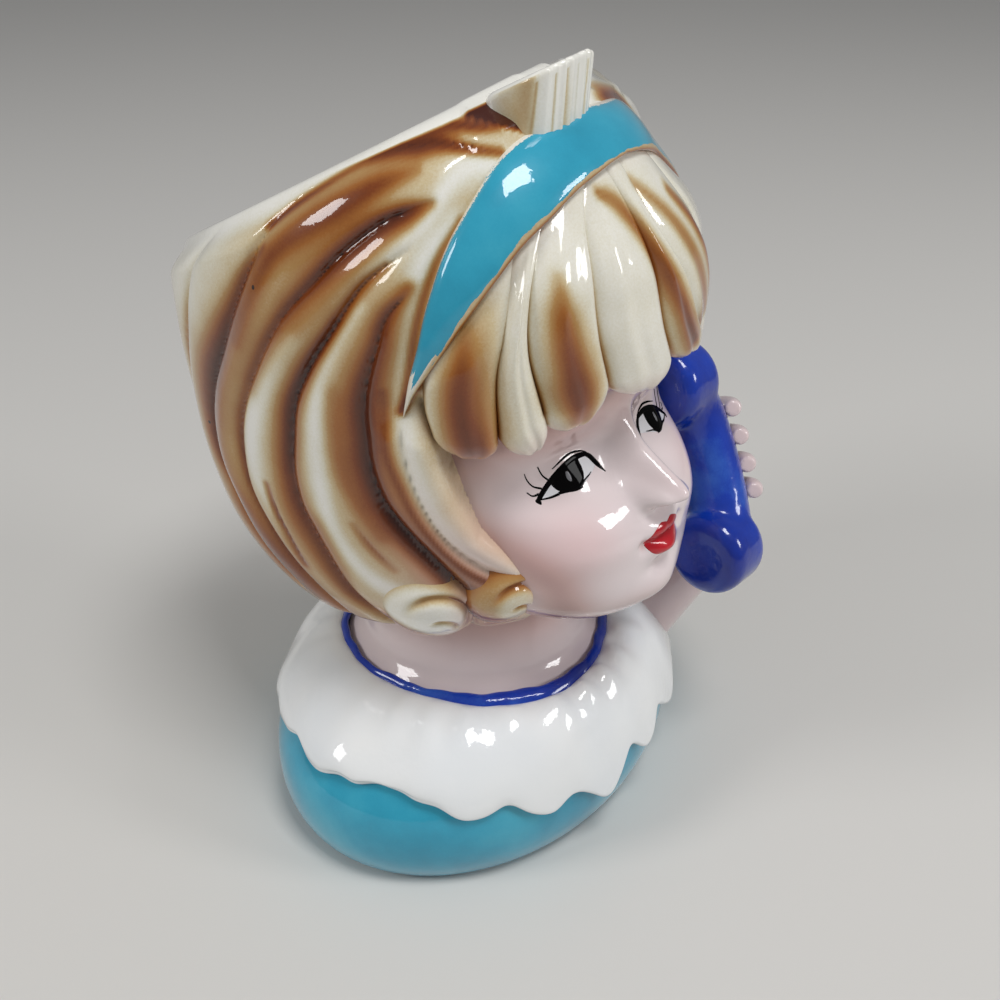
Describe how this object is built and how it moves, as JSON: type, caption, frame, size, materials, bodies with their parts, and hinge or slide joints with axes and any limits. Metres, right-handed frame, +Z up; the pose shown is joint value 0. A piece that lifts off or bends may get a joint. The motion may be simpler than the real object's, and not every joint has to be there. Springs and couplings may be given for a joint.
{
  "type": "head planter",
  "caption": "Glazed earthenware bust of a girl holding a telephone handset to her ear, hollow and open at the crown as a small plant pot.",
  "frame": {"origin": "middle of the flat foot, on the surface that the pot stands on", "axes": "+Z up, the face looks along -Y, the telephone is on the +X side"},
  "size_m": [0.097, 0.1072, 0.1512],
  "materials": {
    "turquoise_glaze": "opaque turquoise glaze, high gloss",
    "skin_glaze": "pale pink underglaze under clear gloss",
    "hair_glaze": "cream with brown airbrushed streaks under clear gloss",
    "cobalt_glaze": "cobalt blue brushed on, high gloss",
    "white_glaze": "clear gloss over white body"
  },
  "bodies": {
    "root": {"bodice": "turquoise_glaze", "neck": "skin_glaze", "face": "skin_glaze", "hair": "hair_glaze", "neckline_band": "cobalt_glaze", "ruffle": "white_glaze", "headband": "turquoise_glaze", "crown_tuft": "hair_glaze", "fringe_lock_1": "hair_glaze", "fringe_lock_2": "hair_glaze", "fringe_lock_3": "hair_glaze", "fringe_lock_4": "hair_glaze", "fringe_lock_5": "hair_glaze", "side_lock_right": "hair_glaze", "side_lock_left": "hair_glaze", "curl_right_front": "hair_glaze", "curl_right_back": "hair_glaze", "curl_left_front": "hair_glaze", "curl_left_back": "hair_glaze", "handset": "cobalt_glaze", "palm": "skin_glaze", "thumb": "skin_glaze", "forearm": "skin_glaze", "little_finger": "skin_glaze", "ring_finger": "skin_glaze", "middle_finger": "skin_glaze", "index_finger": "skin_glaze"}
  },
  "joints": []
}
